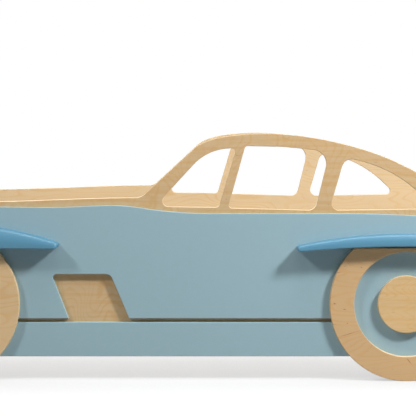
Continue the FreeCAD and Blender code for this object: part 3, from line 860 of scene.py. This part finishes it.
# Each softbox: name, the way to it from the bed's middle, its distance in metres, its power in watts,
# its side as a share of its distance, and its tint.
SOFTBOXES = (
    ("left", (-1.15, -1.0, 1.15), 6.0, 137.0, 0.15, (1.0, 0.985, 0.96)),
    ("right", (1.15, -1.0, 1.15), 4.2, 160.0, 0.15, (0.99, 0.995, 1.0)),
    ("above", (0.1, -0.3, 1.0), 3.6, 55.0, 0.5, WHITE),
    ("behind", (-0.5, 1.0, 0.7), 6.0, 210.0, 0.6, WHITE),
)


def make_floor_finish(settings):
    """White floor: where it is seen, part of its white is its own, so that shadows on it stay light."""
    finish = Finish("studio_floor_white")

    def lit(share):
        return finish.node("BsdfDiffuse", Color=(share, share, share)).outputs[0]

    def glowing(strength):
        return finish.node("Emission", Color=WHITE, Strength=strength).outputs[0]

    samples = {"samples": CONTACT_SAMPLES}
    # Painted shade: near pieces dim the floor's own glow, by how much of the space round each point they
    # close off.
    openness = finish.node("AmbientOcclusion", samples, Distance=settings.contact_reach).outputs["AO"]
    hidden = settings.floor_glow * settings.contact_shade
    glow = finish.math("MULTIPLY_ADD", openness, hidden, settings.floor_glow - hidden)
    near = finish.output("AddShader", (lit(settings.floor_shade), glowing(glow)))
    x, y = finish.position()[:2]
    away = finish.math("SQRT", finish.math("ADD", finish.product(x, x), finish.product(y, y)))
    faded = finish.step(away, FADE_START, FADE_END)
    seen = finish.output("MixShader", (faded, near, glowing(1.0)))
    surface = finish.output("MixShader", (finish.seen_directly(), lit(settings.floor_bounce), seen))
    finish.put(finish.tree.nodes["Material Output"].inputs["Surface"], surface)
    finish.tree.nodes.remove(finish.shader)
    return finish.material


def make_floor(settings):
    mesh = bmesh.new()
    bmesh.ops.create_grid(mesh, x_segments=1, y_segments=1, size=FLOOR_HALF)
    shape = bpy.data.meshes.new("studio_floor")
    mesh.to_mesh(shape)
    mesh.free()
    shape.materials.append(make_floor_finish(settings))
    floor = bpy.data.objects.new("studio_floor", shape)
    bpy.context.scene.collection.objects.link(floor)


def make_world(settings):
    """White where it is seen, and an even fill light for the rest."""
    world = bpy.data.worlds.new("studio_world")
    world.use_nodes = True
    shading = Shading(world.node_tree)
    fill = [settings.fill * share for share in FILL_TINT]
    background = world.node_tree.nodes["Background"]
    shading.put(background.inputs["Color"], shading.mix(shading.seen_directly(), fill, WHITE))
    bpy.context.scene.world = world


def make_lamps(settings):
    """Softboxes up to the left and right, which each throw a shadow, and wide ones above and behind."""
    middle = Vector((0, 0, CAD_BOUNDS[1][2] / 2))
    for name, direction, distance, power, share, tint in SOFTBOXES:
        lamp = bpy.data.lights.new("softbox_" + name, "AREA")
        lamp.shape = "SQUARE"
        lamp.size = distance * share
        lamp.energy = power * settings.lamp_level
        lamp.color = tint
        way = Vector(direction).normalized()
        holder = bpy.data.objects.new("softbox_" + name, lamp)
        holder.location = middle + way * distance
        holder.rotation_euler = way.to_track_quat("Z", "Y").to_euler()
        bpy.context.scene.collection.objects.link(holder)


def make_camera(settings):
    lens = bpy.data.cameras.new("photo_camera")
    lens.sensor_fit = "HORIZONTAL"
    lens.lens = settings.lens
    lens.shift_x = -settings.framing_left
    lens.shift_y = -settings.framing_down
    camera = bpy.data.objects.new("photo_camera", lens)
    camera_y = PANEL_LOW.y - settings.camera_distance
    camera.location = (settings.camera_along, camera_y, settings.camera_height)
    camera.rotation_euler = (math.pi / 2, 0, 0)
    bpy.context.scene.collection.objects.link(camera)
    bpy.context.scene.camera = camera


class CARBED_OT_stage(bpy.types.Operator):
    """White floor and background, softboxes and the camera"""

    bl_idname = "car_bed.stage"
    bl_label = "Stage"

    def execute(self, context):
        settings = context.scene.car_bed.stage
        make_floor(settings)
        make_world(settings)
        make_lamps(settings)
        make_camera(settings)
        context.scene.view_settings.view_transform = "Standard"
        return {"FINISHED"}


# ------------------------------------------------------------------ panel and registration

OPERATORS = (
    CARBED_OT_side_panels,
    CARBED_OT_skins,
    CARBED_OT_wheels,
    CARBED_OT_mudguards,
    CARBED_OT_base,
    CARBED_OT_fittings,
    CARBED_OT_stage,
)
SETTINGS = (
    PlywoodSettings,
    PaintSettings,
    BaseSettings,
    FittingSettings,
    MudguardSettings,
    StageSettings,
    CarBedSettings,
)


class CARBED_PT_sidebar(bpy.types.Panel):
    """The bed's finishes and shapes, and the buttons that make them"""

    bl_idname = "CARBED_PT_sidebar"
    bl_label = "Car bed"
    bl_space_type = "VIEW_3D"
    bl_region_type = "UI"
    bl_category = "Car bed"

    def draw(self, context):
        for group_name in ("plywood", "paint", "base", "fittings", "mudguards", "stage"):
            settings = getattr(context.scene.car_bed, group_name)
            box = self.layout.box()
            box.label(text=group_name.capitalize())
            for name in settings.bl_rna.properties.keys():
                if name not in ("rna_type", "name"):
                    box.prop(settings, name)
        for operator in OPERATORS:
            self.layout.operator(operator.bl_idname)


CLASSES = SETTINGS + OPERATORS + (CARBED_PT_sidebar,)


def register():
    for item in CLASSES:
        bpy.utils.register_class(item)
    bpy.types.Scene.car_bed = bpy.props.PointerProperty(type=CarBedSettings)


def unregister():
    del bpy.types.Scene.car_bed
    for item in reversed(CLASSES):
        bpy.utils.unregister_class(item)


def main():
    register()
    for operator in OPERATORS:
        family, name = operator.bl_idname.split(".")
        getattr(getattr(bpy.ops, family), name)()
    bpy.context.view_layer.update()


if __name__ == "__main__":
    main()
